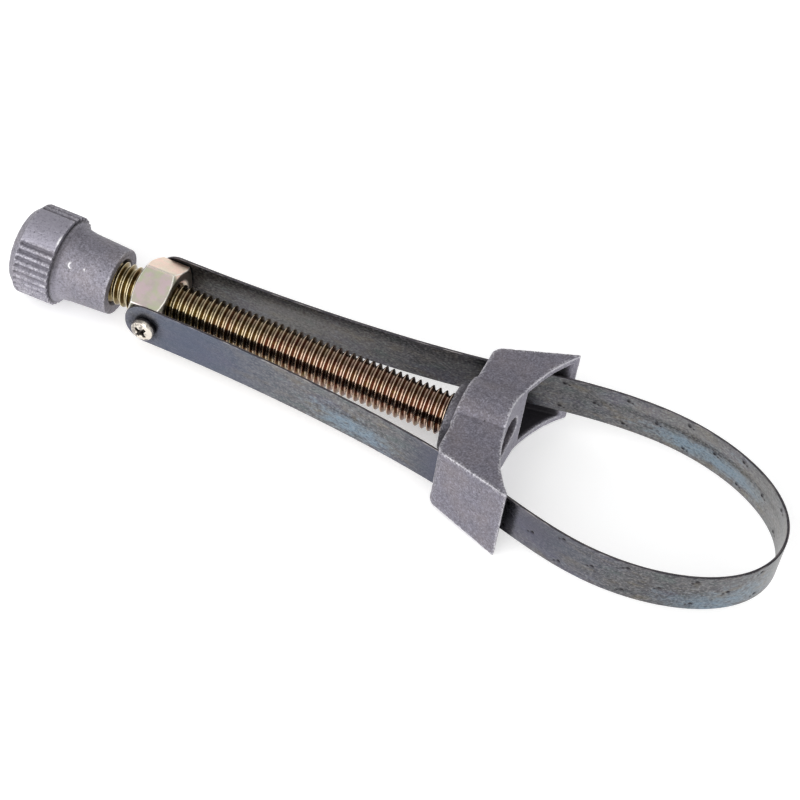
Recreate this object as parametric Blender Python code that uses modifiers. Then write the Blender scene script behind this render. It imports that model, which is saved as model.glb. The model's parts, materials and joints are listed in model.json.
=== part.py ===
"""Oil filter wrench with a steel strap, built piece by piece.

A knob turns a long threaded screw in a cast saddle.  A hexagon nut travels on
the screw and pulls both ends of one spring-steel strap, so the loop in front
of the saddle closes on a filter.

World units are metres, +Z is up and +X runs from the knob to the loop.  The
sizes below are millimetres in the tool frame: its X axis is the axis of the
screw and its origin is where the screw enters the collar of the saddle.  The
empty called tool_axis puts that frame in the world.
"""
import math

import bmesh
import bpy
from mathutils import Matrix, Vector

MM = 0.001
SHARP = math.radians(35.0)
WELD = 0.01

# Facets round a full turn.
STEPS_ARC = 96
STEPS_KNOB = 60
STEPS_LARGE = 48
STEPS_MEDIUM = 32
STEPS_SMALL = 24
STEPS_GROOVE = 8
# Facets along a quarter of a rounded outline, and along each piece of the strap's curve.
STEPS_QUARTER = 4
STEPS_CURVE = 13

# The tool frame in the world: the object is centred and stands on z = 0.
AXIS_X = 15.3
AXIS_Y = 1.08
AXIS_Z = 14.36

# Drive screw.
THREAD_CREST_R = 6.35
THREAD_ROOT_R = 5.2
THREAD_PITCH = 2.04
THREAD_STEPS = 16
SCREW_BACK_END = -115.4
JOURNAL_R = 4.4
JOURNAL_START = 5.2
GROOVE_R = 3.4
GROOVE_START = 12.6
GROOVE_END = 14.2
SCREW_FRONT_END = 15.6
SCREW_EDGE = 0.5
THREAD_RUNOUT = 1.5
THREAD_CLEAR = 1.0

# Knob.
KNOB_BACK = -131.4
KNOB_BACK_R = 10.6
KNOB_BAND = 2.6
KNOB_BAND_R = 13.1
KNOB_HEAD_R = 13.5
KNOB_RIM = -118.0
KNOB_RIM_R = 12.4
KNOB_FLARE = 4.2
KNOB_EDGE = 0.6
KNOB_WAIST_R = 10.5
KNOB_NECK_R = 9.85
KNOB_NECK_END = -101.15
KNOB_BORE_R = 6.7
KNOB_BORE_END = -116.0
KNOB_RIB_PITCH_DEG = 10.0
KNOB_RIBS_PER_SIDE = 13
KNOB_PANEL_AT_DEG = 100.0
KNOB_GROOVE_R = 0.85
KNOB_GROOVE_DEPTH = 0.45
KNOB_GROOVE_START = 2.8
KNOB_GROOVE_RUNOUT = 2.0

# Nut.
NUT_FLATS = 20.2
NUT_START = -93.6
NUT_END = -83.2
NUT_BORE_R = 6.7
NUT_BORE_LEAD = 0.7
NUT_FACE_R = 9.9
NUT_CHAMFER_DEG = 30.0
NUT_TRIM = 0.6
NUT_HOLE_Y = 9.0
NUT_HOLE_DEPTH = 8.0

# Strap.
STRAP_THICK = 0.8
STRAP_WIDTH = 13.8
STRAP_CORNER_R = 6.4
STRAP_CORNER_SEGMENTS = 6
STRAP_END = (-93.6, 10.95)
STRAP_STRAIGHT_TO = (-86.0, 10.95)
STRAP_AT_SADDLE = (12.0, 19.8)
STRAP_SLOPE_AT_SADDLE = 0.222
STRAP_WIDEST = (57.0, 27.7)
STRAP_APEX_X = 100.5
ARM_HANDLE = 29.0
SADDLE_HANDLE = 15.5
WIDEST_HANDLE_BACK = 15.0
WIDEST_HANDLE_FRONT = 21.5
APEX_HANDLE = 17.5
LOOP_LEAN_DEG = -2.66
LOOP_LEAN_PIVOT_X = 15.0

# Strap screws.
SCREW_X = -87.2
SCREW_Z = -0.45
SCREW_HOLE_R = 2.1
PAN_HEAD_R = 3.6
PAN_HEAD_HIGH = 2.6
PAN_SEAT_Y = 11.65
PAN_SHANK_R = 1.8
PAN_SHANK_END_Y = 7.1
PAN_CROWN_FLAT_R = 1.2
PAN_CROWN_HIGH = 1.8
PAN_POINT = 0.4
RECESS_LONG = 2.0
RECESS_WIDE = 0.45
RECESS_DEEP = 1.2

# Saddle.
SADDLE_BACK_X = 6.0
SADDLE_BACK_HALF_Y = 20.45
SADDLE_BACK_HALF_Z = 11.15
SADDLE_FRONT_X = 29.0
SADDLE_FRONT_HALF_Y = 27.9
SADDLE_FRONT_HALF_Z = 13.25
SADDLE_ARC_R = 43.0
SADDLE_ARC_BOTTOM_X = 19.5
SADDLE_PLATE = 2.0
SADDLE_WALL_BACK = 1.25
SADDLE_WALL_FRONT = 2.2
SADDLE_CORNER_R = 2.2
SADDLE_CORNER_SEGMENTS = 3
BOSS_HALF_Y = 9.3
BARREL_BACK_X = 5.2
BARREL_BACK_R = 13.2
BARREL_FRONT_X = 26.0
BARREL_FRONT_R = 14.9
COLLAR_BACK_X = 2.5
COLLAR_R = 10.1
COLLAR_BORE_R = 6.75
WEB_BACK_X = 5.5
WEB_FRONT_X = 11.5
WEB_BORE_R = 4.75
COUNTERBORE_R = 6.4
CASTING_EDGE = 0.4
CUT_MARGIN = 5.0

# Washer and retaining ring in front of the web.
WASHER_BACK_X = 11.8
WASHER_THICK = 0.7
WASHER_OUTER_R = 5.9
WASHER_INNER_R = 4.75
RING_BACK_X = 12.9
RING_THICK = 1.0
RING_OUTER_R = 5.6
RING_INNER_R = 3.72
RING_MOUTH = 5.0

ALONG_TOOL = (0.0, math.radians(90.0), 0.0)
TO_NEAR_SIDE = (math.radians(90.0), 0.0, 0.0)
TO_FAR_SIDE = (math.radians(-90.0), 0.0, 0.0)


def clear_scene():
    for obj in list(bpy.data.objects):
        bpy.data.objects.remove(obj, do_unlink=True)


def new_collection(name):
    collection = bpy.data.collections.new(name)
    bpy.context.scene.collection.children.link(collection)
    return collection


def new_material(name, colour, metallic, roughness):
    material = bpy.data.materials.new(name)
    material.use_nodes = True
    shader = material.node_tree.nodes["Principled BSDF"]
    shader.inputs["Base Color"].default_value = (*colour, 1.0)
    shader.inputs["Metallic"].default_value = metallic
    shader.inputs["Roughness"].default_value = roughness
    return material


def place(name, data, at=(0.0, 0.0, 0.0), turn=(0.0, 0.0, 0.0)):
    """Add an object at a point of the tool frame; every name starting cut_ or add_ is a cutter."""
    obj = bpy.data.objects.new(name, data)
    obj.parent = tool_axis
    obj.location = Vector(at) * MM
    obj.rotation_euler = turn
    if name.startswith(("cut_", "add_")):
        cutters.objects.link(obj)
        obj.hide_render = True
        obj.display_type = "WIRE"
    else:
        parts.objects.link(obj)
    return obj


def shade_round(mesh):
    mesh.shade_smooth()
    mesh.set_sharp_from_angle(angle=SHARP)


def bake(obj):
    """Replace the object's data by its evaluated mesh."""
    bpy.context.view_layer.update()
    graph = bpy.context.evaluated_depsgraph_get()
    mesh = bpy.data.meshes.new_from_object(obj.evaluated_get(graph))
    obj.modifiers.clear()
    obj.data = mesh
    return mesh


def turned(name, profile, steps, at=(0.0, 0.0, 0.0), turn=ALONG_TOOL, closed=False):
    """Revolve (height, radius) points, which run down the outer side, with a Screw modifier."""
    mesh = bpy.data.meshes.new(name)
    points = [(radius * MM, 0.0, height * MM) for height, radius in profile]
    edges = [(index, index + 1) for index in range(len(points) - 1)]
    if closed:
        edges.append((len(points) - 1, 0))
    mesh.from_pydata(points, edges, [])
    obj = place(name, mesh, at, turn)
    screw = obj.modifiers.new("turn", "SCREW")
    screw.axis = "Z"
    screw.steps = steps
    screw.render_steps = steps
    screw.use_merge_vertices = True
    screw.merge_threshold = WELD * MM
    shade_round(bake(obj))
    return obj


def from_bmesh(name, bm, at=(0.0, 0.0, 0.0), turn=(0.0, 0.0, 0.0)):
    """Make an object from a bmesh drawn in millimetres."""
    bmesh.ops.scale(bm, vec=Vector((MM, MM, MM)), verts=bm.verts)
    mesh = bpy.data.meshes.new(name)
    bm.to_mesh(mesh)
    bm.free()
    return place(name, mesh, at, turn)


def cylinder(name, radius, length, segments, at=(0.0, 0.0, 0.0), turn=(0.0, 0.0, 0.0)):
    """A cylinder or prism along its own Z axis, with a flat facing its own X axis."""
    bm = bmesh.new()
    half_step = Matrix.Rotation(math.pi / segments, 4, "Z")
    bmesh.ops.create_cone(bm, cap_ends=True, segments=segments, radius1=radius,
                          radius2=radius, depth=length, matrix=half_step)
    obj = from_bmesh(name, bm, at, turn)
    shade_round(obj.data)
    return obj


def box(name, size, at=(0.0, 0.0, 0.0), turn=(0.0, 0.0, 0.0)):
    bm = bmesh.new()
    bmesh.ops.create_cube(bm, size=1.0)
    bmesh.ops.scale(bm, vec=Vector(size), verts=bm.verts)
    return from_bmesh(name, bm, at, turn)


def quarter(along, across):
    """A quarter of an ellipse from the point where it runs along the axis to where it runs across it."""
    points = []
    for step in range(STEPS_QUARTER + 1):
        angle = 0.5 * math.pi * step / STEPS_QUARTER
        height = along[0] + (across[0] - along[0]) * math.sin(angle)
        radius = along[1] + (across[1] - along[1]) * (1.0 - math.cos(angle))
        points.append((height, radius))
    return points


def boolean(obj, other, operation="DIFFERENCE"):
    modifier = obj.modifiers.new(other.name, "BOOLEAN")
    modifier.operation = operation
    modifier.solver = "EXACT"
    modifier.object = other


def build_knob():
    """Ribbed head, waisted neck, and a blind bore that the screw is fixed in."""
    outline = [
        (KNOB_BORE_END, 0.0),
        (KNOB_BORE_END, KNOB_BORE_R),
        (KNOB_NECK_END, KNOB_BORE_R),
        (KNOB_NECK_END, KNOB_NECK_R - KNOB_EDGE),
        (KNOB_NECK_END - KNOB_EDGE, KNOB_NECK_R),
    ]
    outline += quarter((KNOB_RIM + KNOB_FLARE, KNOB_WAIST_R), (KNOB_RIM, KNOB_RIM_R))
    outline += [
        (KNOB_RIM, KNOB_HEAD_R - KNOB_EDGE),
        (KNOB_RIM - KNOB_EDGE, KNOB_HEAD_R),
        (KNOB_BACK + KNOB_BAND, KNOB_HEAD_R),
    ]
    outline += quarter((KNOB_BACK + KNOB_BAND, KNOB_BAND_R), (KNOB_BACK, KNOB_BACK_R))
    outline.append((KNOB_BACK, 0.0))
    knob = turned("knob_casting", outline, STEPS_KNOB)
    grooves = bmesh.new()
    groove_start = KNOB_BACK + KNOB_GROOVE_START
    length = KNOB_RIM + KNOB_GROOVE_RUNOUT - groove_start
    centre_x = groove_start + 0.5 * length
    centre_r = KNOB_HEAD_R + KNOB_GROOVE_R - KNOB_GROOVE_DEPTH
    for side_deg in (90.0, 270.0):
        for rib in range(KNOB_RIBS_PER_SIDE):
            from_middle = (rib - 0.5 * (KNOB_RIBS_PER_SIDE - 1)) * KNOB_RIB_PITCH_DEG
            angle = math.radians(KNOB_PANEL_AT_DEG + side_deg + from_middle)
            spot = Matrix.Translation((centre_x, centre_r * math.cos(angle), centre_r * math.sin(angle)))
            lying = Matrix.Rotation(math.radians(90.0), 4, "Y")
            bmesh.ops.create_cone(grooves, cap_ends=True, segments=STEPS_GROOVE, radius1=KNOB_GROOVE_R,
                                  radius2=KNOB_GROOVE_R, depth=length, matrix=spot @ lying)
    boolean(knob, from_bmesh("cut_knob_grooves", grooves))
    return knob


def build_drive_screw():
    """A right-hand V thread wound right through, trimmed by a turned outline with a journal."""
    half_pitch = 0.5 * THREAD_PITCH
    profile = [
        (THREAD_ROOT_R * MM, 0.0, half_pitch * MM),
        (THREAD_CREST_R * MM, 0.0, 0.0),
        (THREAD_ROOT_R * MM, 0.0, -half_pitch * MM),
    ]
    mesh = bpy.data.meshes.new("drive_screw")
    mesh.from_pydata(profile, [(0, 1), (1, 2)], [])
    wound_from = SCREW_BACK_END - 2.0 * THREAD_PITCH
    screw = place("drive_screw", mesh, (wound_from, 0.0, 0.0), ALONG_TOOL)
    winding = screw.modifiers.new("wind", "SCREW")
    winding.axis = "Z"
    winding.screw_offset = THREAD_PITCH * MM
    winding.iterations = math.ceil((SCREW_FRONT_END - wound_from) / THREAD_PITCH) + 2
    winding.steps = THREAD_STEPS
    winding.render_steps = THREAD_STEPS
    bake(screw)
    bm = bmesh.new()
    bm.from_mesh(screw.data)
    bmesh.ops.remove_doubles(bm, verts=bm.verts, dist=WELD * MM)
    bmesh.ops.holes_fill(bm, edges=[edge for edge in bm.edges if edge.is_boundary])
    bmesh.ops.recalc_face_normals(bm, faces=bm.faces)
    bm.to_mesh(screw.data)
    bm.free()
    shade_round(screw.data)
    clear_r = THREAD_CREST_R + THREAD_CLEAR
    boolean(screw, turned("cut_screw_outline", [
        (SCREW_FRONT_END, 0.0),
        (SCREW_FRONT_END, JOURNAL_R - SCREW_EDGE),
        (SCREW_FRONT_END - SCREW_EDGE, JOURNAL_R),
        (GROOVE_END, JOURNAL_R),
        (GROOVE_END, GROOVE_R),
        (GROOVE_START, GROOVE_R),
        (GROOVE_START, JOURNAL_R),
        (JOURNAL_START, JOURNAL_R),
        (JOURNAL_START, THREAD_ROOT_R),
        (JOURNAL_START - THREAD_RUNOUT, clear_r),
        (SCREW_BACK_END + THREAD_RUNOUT, clear_r),
        (SCREW_BACK_END, THREAD_ROOT_R),
        (SCREW_BACK_END, 0.0),
    ], STEPS_MEDIUM), "INTERSECT")
    return screw


def build_nut():
    """Chamfered hexagon nut; the strap ends are screwed to its two side flats."""
    corner_r = NUT_FLATS / math.sqrt(3.0)
    middle = 0.5 * (NUT_START + NUT_END)
    nut = cylinder("travelling_nut", corner_r, NUT_END - NUT_START, 6,
                   (middle, 0.0, 0.0), ALONG_TOOL)
    outside_r = corner_r + NUT_TRIM
    depth = (outside_r - NUT_FACE_R) * math.tan(math.radians(NUT_CHAMFER_DEG))
    boolean(nut, turned("cut_nut_outside", [
        (NUT_END, 0.0),
        (NUT_END, NUT_FACE_R),
        (NUT_END - depth, outside_r),
        (NUT_START + depth, outside_r),
        (NUT_START, NUT_FACE_R),
        (NUT_START, 0.0),
    ], STEPS_LARGE), "INTERSECT")
    lead_r = NUT_BORE_R + NUT_BORE_LEAD
    boolean(nut, turned("cut_nut_bore", [
        (NUT_END + 1.0, 0.0),
        (NUT_END + 1.0, lead_r),
        (NUT_END, lead_r),
        (NUT_END - NUT_BORE_LEAD, NUT_BORE_R),
        (NUT_START + NUT_BORE_LEAD, NUT_BORE_R),
        (NUT_START, lead_r),
        (NUT_START - 1.0, lead_r),
        (NUT_START - 1.0, 0.0),
    ], STEPS_MEDIUM))
    for side, sign in (("near", -1.0), ("far", 1.0)):
        boolean(nut, cylinder("cut_nut_hole_" + side, SCREW_HOLE_R, NUT_HOLE_DEPTH, STEPS_SMALL,
                              (SCREW_X, sign * NUT_HOLE_Y, SCREW_Z), TO_NEAR_SIDE))
    return nut


def lean(x, y):
    """Turn a point of the loop about the saddle: the loop leans to the near side."""
    turn = Matrix.Rotation(math.radians(LOOP_LEAN_DEG), 2)
    offset = turn @ Vector((x - LOOP_LEAN_PIVOT_X, y))
    return (offset.x + LOOP_LEAN_PIVOT_X, offset.y)


def strap_knots():
    """Bezier knots (handle in, point, handle out) from the far end to the near end."""
    slope = Vector((1.0, STRAP_SLOPE_AT_SADDLE)).normalized()
    at_saddle = Vector(STRAP_AT_SADDLE)
    into_saddle = at_saddle - ARM_HANDLE * slope
    out_of_saddle = at_saddle + SADDLE_HANDLE * slope
    straight_x, straight_y = STRAP_STRAIGHT_TO
    wide_x, wide_y = STRAP_WIDEST
    end = STRAP_END
    straight = STRAP_STRAIGHT_TO
    arm_out = (straight_x + ARM_HANDLE, straight_y)
    knots = []
    for sign in (1.0, -1.0):
        half = [
            ((end[0] - 1.0, sign * end[1]), (end[0], sign * end[1]), (straight[0], sign * straight[1])),
            ((end[0], sign * end[1]), (straight[0], sign * straight[1]), (arm_out[0], sign * arm_out[1])),
            ((into_saddle.x, sign * into_saddle.y), (at_saddle.x, sign * at_saddle.y),
             (out_of_saddle.x, sign * out_of_saddle.y)),
            (lean(wide_x - WIDEST_HANDLE_BACK, sign * wide_y), lean(wide_x, sign * wide_y),
             lean(wide_x + WIDEST_HANDLE_FRONT, sign * wide_y)),
        ]
        if sign > 0.0:
            knots += half
            knots.append((lean(STRAP_APEX_X, APEX_HANDLE), lean(STRAP_APEX_X, 0.0),
                          lean(STRAP_APEX_X, -APEX_HANDLE)))
        else:
            knots += [(after, point, before) for before, point, after in reversed(half)]
    return knots


def build_strap():
    """One spring-steel band: a curve given its width, its thickness and rounded ends."""
    curve = bpy.data.curves.new("strap_line", "CURVE")
    curve.dimensions = "2D"
    curve.fill_mode = "NONE"
    curve.resolution_u = STEPS_CURVE
    curve.extrude = 0.5 * STRAP_WIDTH * MM
    spline = curve.splines.new("BEZIER")
    knots = strap_knots()
    spline.bezier_points.add(len(knots) - 1)
    for knot, (before, point, after) in zip(spline.bezier_points, knots):
        knot.handle_left_type = "FREE"
        knot.handle_right_type = "FREE"
        knot.co = Vector((*point, 0.0)) * MM
        knot.handle_left = Vector((*before, 0.0)) * MM
        knot.handle_right = Vector((*after, 0.0)) * MM
    for first, second in ((0, 1), (-2, -1)):
        spline.bezier_points[first].handle_right_type = "VECTOR"
        spline.bezier_points[second].handle_left_type = "VECTOR"
    guide = place("cut_strap_guide", curve)
    bpy.context.view_layer.update()
    graph = bpy.context.evaluated_depsgraph_get()
    mesh = bpy.data.meshes.new_from_object(guide.evaluated_get(graph))
    bpy.data.objects.remove(guide, do_unlink=True)

    bm = bmesh.new()
    bm.from_mesh(mesh)
    bmesh.ops.remove_doubles(bm, verts=bm.verts, dist=WELD * MM)
    corners = [vert for vert in bm.verts if len(vert.link_edges) == 2]
    bmesh.ops.bevel(bm, geom=corners, offset=STRAP_CORNER_R * MM,
                    segments=STRAP_CORNER_SEGMENTS, profile=0.5, affect="VERTICES")
    bm.to_mesh(mesh)
    bm.free()
    strap = place("strap_band", mesh)
    shade_round(mesh)
    thickness = strap.modifiers.new("thickness", "SOLIDIFY")
    thickness.thickness = STRAP_THICK * MM
    thickness.offset = 0.0
    for side, sign in (("near", -1.0), ("far", 1.0)):
        boolean(strap, cylinder("cut_strap_hole_" + side, SCREW_HOLE_R, 5.0 * STRAP_THICK, STEPS_SMALL,
                                (SCREW_X, sign * STRAP_END[1], SCREW_Z), TO_NEAR_SIDE))
    return strap


def build_strap_screw(side, turn):
    """Pan-head cross-recess screw that holds a strap end to the nut."""
    top = PAN_SEAT_Y + PAN_HEAD_HIGH
    outline = [(top, 0.0)]
    outline += reversed(quarter((top - PAN_CROWN_HIGH, PAN_HEAD_R), (top, PAN_CROWN_FLAT_R)))
    outline += [
        (PAN_SEAT_Y, PAN_HEAD_R),
        (PAN_SEAT_Y, PAN_SHANK_R),
        (PAN_SHANK_END_Y + PAN_POINT, PAN_SHANK_R),
        (PAN_SHANK_END_Y, PAN_SHANK_R - PAN_POINT),
        (PAN_SHANK_END_Y, 0.0),
    ]
    screw = turned("strap_screw_" + side, outline, STEPS_SMALL, (SCREW_X, 0.0, SCREW_Z), turn)
    sign = -1.0 if side == "near" else 1.0
    depth = 2.0 * RECESS_DEEP
    centre_y = sign * top
    boolean(screw, box("cut_recess_along_" + side, (2 * RECESS_LONG, depth, 2 * RECESS_WIDE),
                       (SCREW_X, centre_y, SCREW_Z)))
    boolean(screw, box("cut_recess_across_" + side, (2 * RECESS_WIDE, depth, 2 * RECESS_LONG),
                       (SCREW_X, centre_y, SCREW_Z)))
    return screw


def between(x, at_back, at_front):
    """A size that grows evenly along the saddle, at tool position x."""
    share = (x - SADDLE_BACK_X) / (SADDLE_FRONT_X - SADDLE_BACK_X)
    return at_back + (at_front - at_back) * share


def half_y(x):
    return between(x, SADDLE_BACK_HALF_Y, SADDLE_FRONT_HALF_Y)


def half_z(x):
    return between(x, SADDLE_BACK_HALF_Z, SADDLE_FRONT_HALF_Z)


def inner_y(x):
    return half_y(x) - between(x, SADDLE_WALL_BACK, SADDLE_WALL_FRONT)


def inner_z(x):
    return half_z(x) - SADDLE_PLATE


def wedge(back_x, front_x, y_range, z_half):
    """A cube pulled to the sizes that y_range(x) and z_half(x) give at its two ends."""
    bm = bmesh.new()
    bmesh.ops.create_cube(bm, size=2.0)
    for vert in bm.verts:
        x = front_x if vert.co.x > 0.0 else back_x
        low, high = y_range(x)
        vert.co = Vector((x, high if vert.co.y > 0.0 else low, vert.co.z * z_half(x)))
    return bm


def build_saddle():
    """Hollow casting: two plates, two side walls, a bored boss and a collar."""
    block = wedge(SADDLE_BACK_X, SADDLE_FRONT_X, lambda x: (-half_y(x), half_y(x)), half_z)
    corners = []
    for edge in block.edges:
        upright = abs(edge.verts[0].co.z - edge.verts[1].co.z) > SADDLE_BACK_HALF_Z
        if upright and edge.verts[0].co.x == SADDLE_BACK_X:
            corners.append(edge)
    bmesh.ops.bevel(block, geom=corners, offset=SADDLE_CORNER_R,
                    segments=SADDLE_CORNER_SEGMENTS, profile=0.5, affect="EDGES")
    saddle = from_bmesh("saddle_casting", block)

    boolean(saddle, turned("add_saddle_barrel", [
        (BARREL_FRONT_X, 0.0),
        (BARREL_FRONT_X, BARREL_FRONT_R),
        (BARREL_BACK_X + CASTING_EDGE, BARREL_BACK_R),
        (BARREL_BACK_X, BARREL_BACK_R - CASTING_EDGE),
        (BARREL_BACK_X, 0.0),
    ], STEPS_LARGE), "UNION")
    boolean(saddle, turned("add_saddle_collar", [
        (SADDLE_BACK_X + 2.0, 0.0),
        (SADDLE_BACK_X + 2.0, COLLAR_R),
        (COLLAR_BACK_X + CASTING_EDGE, COLLAR_R),
        (COLLAR_BACK_X, COLLAR_R - CASTING_EDGE),
        (COLLAR_BACK_X, 0.0),
    ], STEPS_LARGE), "UNION")
    boolean(saddle, cylinder("cut_saddle_arc", SADDLE_ARC_R, 3.0 * SADDLE_FRONT_HALF_Z, STEPS_ARC,
                             (SADDLE_ARC_BOTTOM_X + SADDLE_ARC_R, 0.0, 0.0)))
    back = SADDLE_BACK_X - CUT_MARGIN
    front = SADDLE_FRONT_X + CUT_MARGIN
    near = wedge(back, front, lambda x: (-inner_y(x), -BOSS_HALF_Y), inner_z)
    boolean(saddle, from_bmesh("cut_saddle_slot_near", near))
    far = wedge(back, front, lambda x: (BOSS_HALF_Y, inner_y(x)), inner_z)
    boolean(saddle, from_bmesh("cut_saddle_slot_far", far))
    boolean(saddle, turned("cut_saddle_bore", [
        (SADDLE_FRONT_X, 0.0),
        (SADDLE_FRONT_X, COUNTERBORE_R),
        (WEB_FRONT_X, COUNTERBORE_R),
        (WEB_FRONT_X, WEB_BORE_R),
        (WEB_BACK_X, WEB_BORE_R),
        (WEB_BACK_X, COLLAR_BORE_R),
        (COLLAR_BACK_X - 2.0, COLLAR_BORE_R),
        (COLLAR_BACK_X - 2.0, 0.0),
    ], STEPS_LARGE))
    return saddle


def flat_ring(name, back_x, thick, outer_r, inner_r, steps):
    return turned(name, [
        (back_x + thick, inner_r),
        (back_x + thick, outer_r),
        (back_x, outer_r),
        (back_x, inner_r),
    ], steps, closed=True)


def build_washer():
    return flat_ring("thrust_washer", WASHER_BACK_X, WASHER_THICK,
                     WASHER_OUTER_R, WASHER_INNER_R, STEPS_MEDIUM)


def build_retaining_ring():
    """An open ring in the groove of the screw; its mouth faces the far side."""
    ring = flat_ring("retaining_ring", RING_BACK_X, RING_THICK, RING_OUTER_R, RING_INNER_R, STEPS_MEDIUM)
    boolean(ring, box("cut_ring_mouth", (4.0, 8.0, RING_MOUTH), (RING_BACK_X, 4.0, 0.0)))
    return ring


clear_scene()
parts = new_collection("oil_filter_wrench")
cutters = new_collection("cutters")
tool_axis = bpy.data.objects.new("tool_axis", None)
tool_axis.location = Vector((AXIS_X, AXIS_Y, AXIS_Z)) * MM
parts.objects.link(tool_axis)

looks = {
    build_saddle(): new_material("cast_aluminium_saddle", (0.30, 0.29, 0.33), 0.5, 0.6),
    build_knob(): new_material("cast_aluminium_knob", (0.32, 0.31, 0.34), 0.5, 0.55),
    build_drive_screw(): new_material("yellow_zinc_steel", (0.42, 0.32, 0.16), 1.0, 0.35),
    build_washer(): new_material("plain_washer_steel", (0.45, 0.45, 0.45), 1.0, 0.35),
    build_retaining_ring(): new_material("dark_ring_steel", (0.10, 0.10, 0.10), 1.0, 0.4),
    build_nut(): new_material("pale_zinc_steel", (0.62, 0.62, 0.48), 1.0, 0.35),
    build_strap(): new_material("blued_spring_steel", (0.14, 0.17, 0.20), 0.9, 0.38),
    build_strap_screw("near", TO_NEAR_SIDE): new_material("nickel_screw_near", (0.7, 0.66, 0.56), 1.0, 0.22),
    build_strap_screw("far", TO_FAR_SIDE): new_material("nickel_screw_far", (0.7, 0.66, 0.56), 1.0, 0.22),
}
for piece, material in looks.items():
    piece.data.materials.clear()
    piece.data.materials.append(material)
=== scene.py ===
"""The looks of the oil filter wrench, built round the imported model.

Every piece is made in the tool frame, in millimetres, and put in the row frame at the
end: X runs along the screw from the knob to the loop, Y to the far arm of the strap and
Z up.  The origin is where the screw enters the collar of the saddle.
"""
import json
import math

import bmesh
import bpy
import numpy as np
from mathutils import Matrix, Vector, kdtree, noise


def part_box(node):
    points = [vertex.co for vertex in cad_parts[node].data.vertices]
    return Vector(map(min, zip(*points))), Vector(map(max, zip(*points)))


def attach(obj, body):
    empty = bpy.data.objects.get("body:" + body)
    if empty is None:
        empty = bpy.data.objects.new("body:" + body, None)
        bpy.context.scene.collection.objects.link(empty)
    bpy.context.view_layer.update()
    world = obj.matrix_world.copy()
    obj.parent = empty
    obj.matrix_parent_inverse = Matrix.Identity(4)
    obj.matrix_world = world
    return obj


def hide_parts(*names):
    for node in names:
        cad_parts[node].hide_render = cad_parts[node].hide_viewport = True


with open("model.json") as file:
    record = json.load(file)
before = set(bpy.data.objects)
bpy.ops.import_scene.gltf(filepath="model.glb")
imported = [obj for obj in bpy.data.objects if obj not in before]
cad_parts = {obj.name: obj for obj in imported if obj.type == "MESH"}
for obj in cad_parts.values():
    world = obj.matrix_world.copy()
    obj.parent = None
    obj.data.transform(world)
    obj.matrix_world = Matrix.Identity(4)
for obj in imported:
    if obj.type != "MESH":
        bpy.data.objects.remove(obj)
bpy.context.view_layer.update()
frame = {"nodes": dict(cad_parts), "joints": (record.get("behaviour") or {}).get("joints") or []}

MM = 0.001
FULL_TURN = 2.0 * math.pi
QUARTER_TURN = 0.5 * math.pi

# Points closer than this are merged, in millimetres.
WELD = 0.002

# How far bends are spread for the broad wear of an edge: rounds of smoothing, and gain.
WORN_ROUNDS = 14
WORN_GAIN = 2.5

# The drive screw.
PITCH = 2.04
CREST_R = 6.35
ROOT_R = 5.2
CREST_HALF = 0.11
ROOT_HALF = 0.17
CREST_ROUND = 0.03
ROOT_ROUND = 0.04
THREAD_BACK = -115.4
THREAD_FRONT = 5.2
THREAD_STEPS = 72
THREAD_LEAD = 1.5
JOURNAL_R = 4.4
GROOVE_R = 3.4
GROOVE_START = 12.6
GROOVE_END = 14.2
SCREW_FRONT = 15.6

# The knob.
KNOB_BACK = -131.4
KNOB_CAP_END = KNOB_BACK + 2.45
KNOB_RIM = -118.0
KNOB_HEAD_R = 13.5
KNOB_CAP_R = 13.1
KNOB_UNDERCUT_R = 12.3
KNOB_NECK_END = -101.15
KNOB_BORE_R = 6.6
KNOB_BORE_START = KNOB_BACK + 15.4
KNOB_STEPS = 720
RIB_PITCH_DEG = 10.0
RIBS_HALF_DEG = 65.0
RIB_DEPTH = 0.85
RIB_START = -128.9
RIB_RUN_IN = 0.9
PANEL_AT_DEG = 100.0

# Two stake marks on the neck as (along, direction in degrees, radius), and a nick in the rim that
# is painted bright as worn metal and as a highlight.
STAKES = ((-113.0, 134.5, 0.85), (-108.7, 133.0, 0.4))
STAKE_MIN_R = 8.5
STAKE_DEPTH = 0.3
RIM_NICK_DEG = 110.7
RIM_NICK_HALF_DEG = 5.5

# The nut.
NUT_FLATS = 20.2
NUT_START = -93.6
NUT_END = -83.2
NUT_BORE_R = 6.42
NUT_LEAD = 1.3
NUT_FACE_R = 9.9
NUT_CHAMFER_DEG = 30.0
NUT_SCREW_HOLE_R = 2.0

# The strap: half its width, its thickness, the rounding of its edges and of its ends.
STRAP_HALF = 6.9
STRAP_THICK = 0.8
STRAP_EDGE = 0.2
STRAP_CORNER_R = 6.4
STRAP_ARM = 112.0
STRAP_ARM_Y = 10.95
STRAP_HOLE_R = 2.1

# The loop's lean to the near side, and the point that it leans about.
LOOP_LEAN_DEG = -2.66
LOOP_LEAN_X = 15.0

# Each gripping mark is pressed twice: (distance along, radius, depth) of the two dents.
PUNCH_DENTS = ((0.0, 0.85, 0.34), (1.25, 0.5, 0.16))
PUNCH_FIRST = 12.0
PUNCH_GAP = 9.25
PUNCH_COLUMNS = 9

# The two screws that hold the strap on the nut.
STRAP_SCREW_X = -87.2
STRAP_SCREW_Z = -0.45
HEAD_R = 3.6
HEAD_HIGH = 2.6
HEAD_SEAT = 11.65
SHANK_R = 1.8
SHANK_END = 7.1
RECESS_TURN_DEG = 53.0
RECESS_DEPTH = 1.7
RECESS_LENGTH = 4.9
RECESS_WIDTH = 1.15
RECESS_REACH = 2.6

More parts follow.
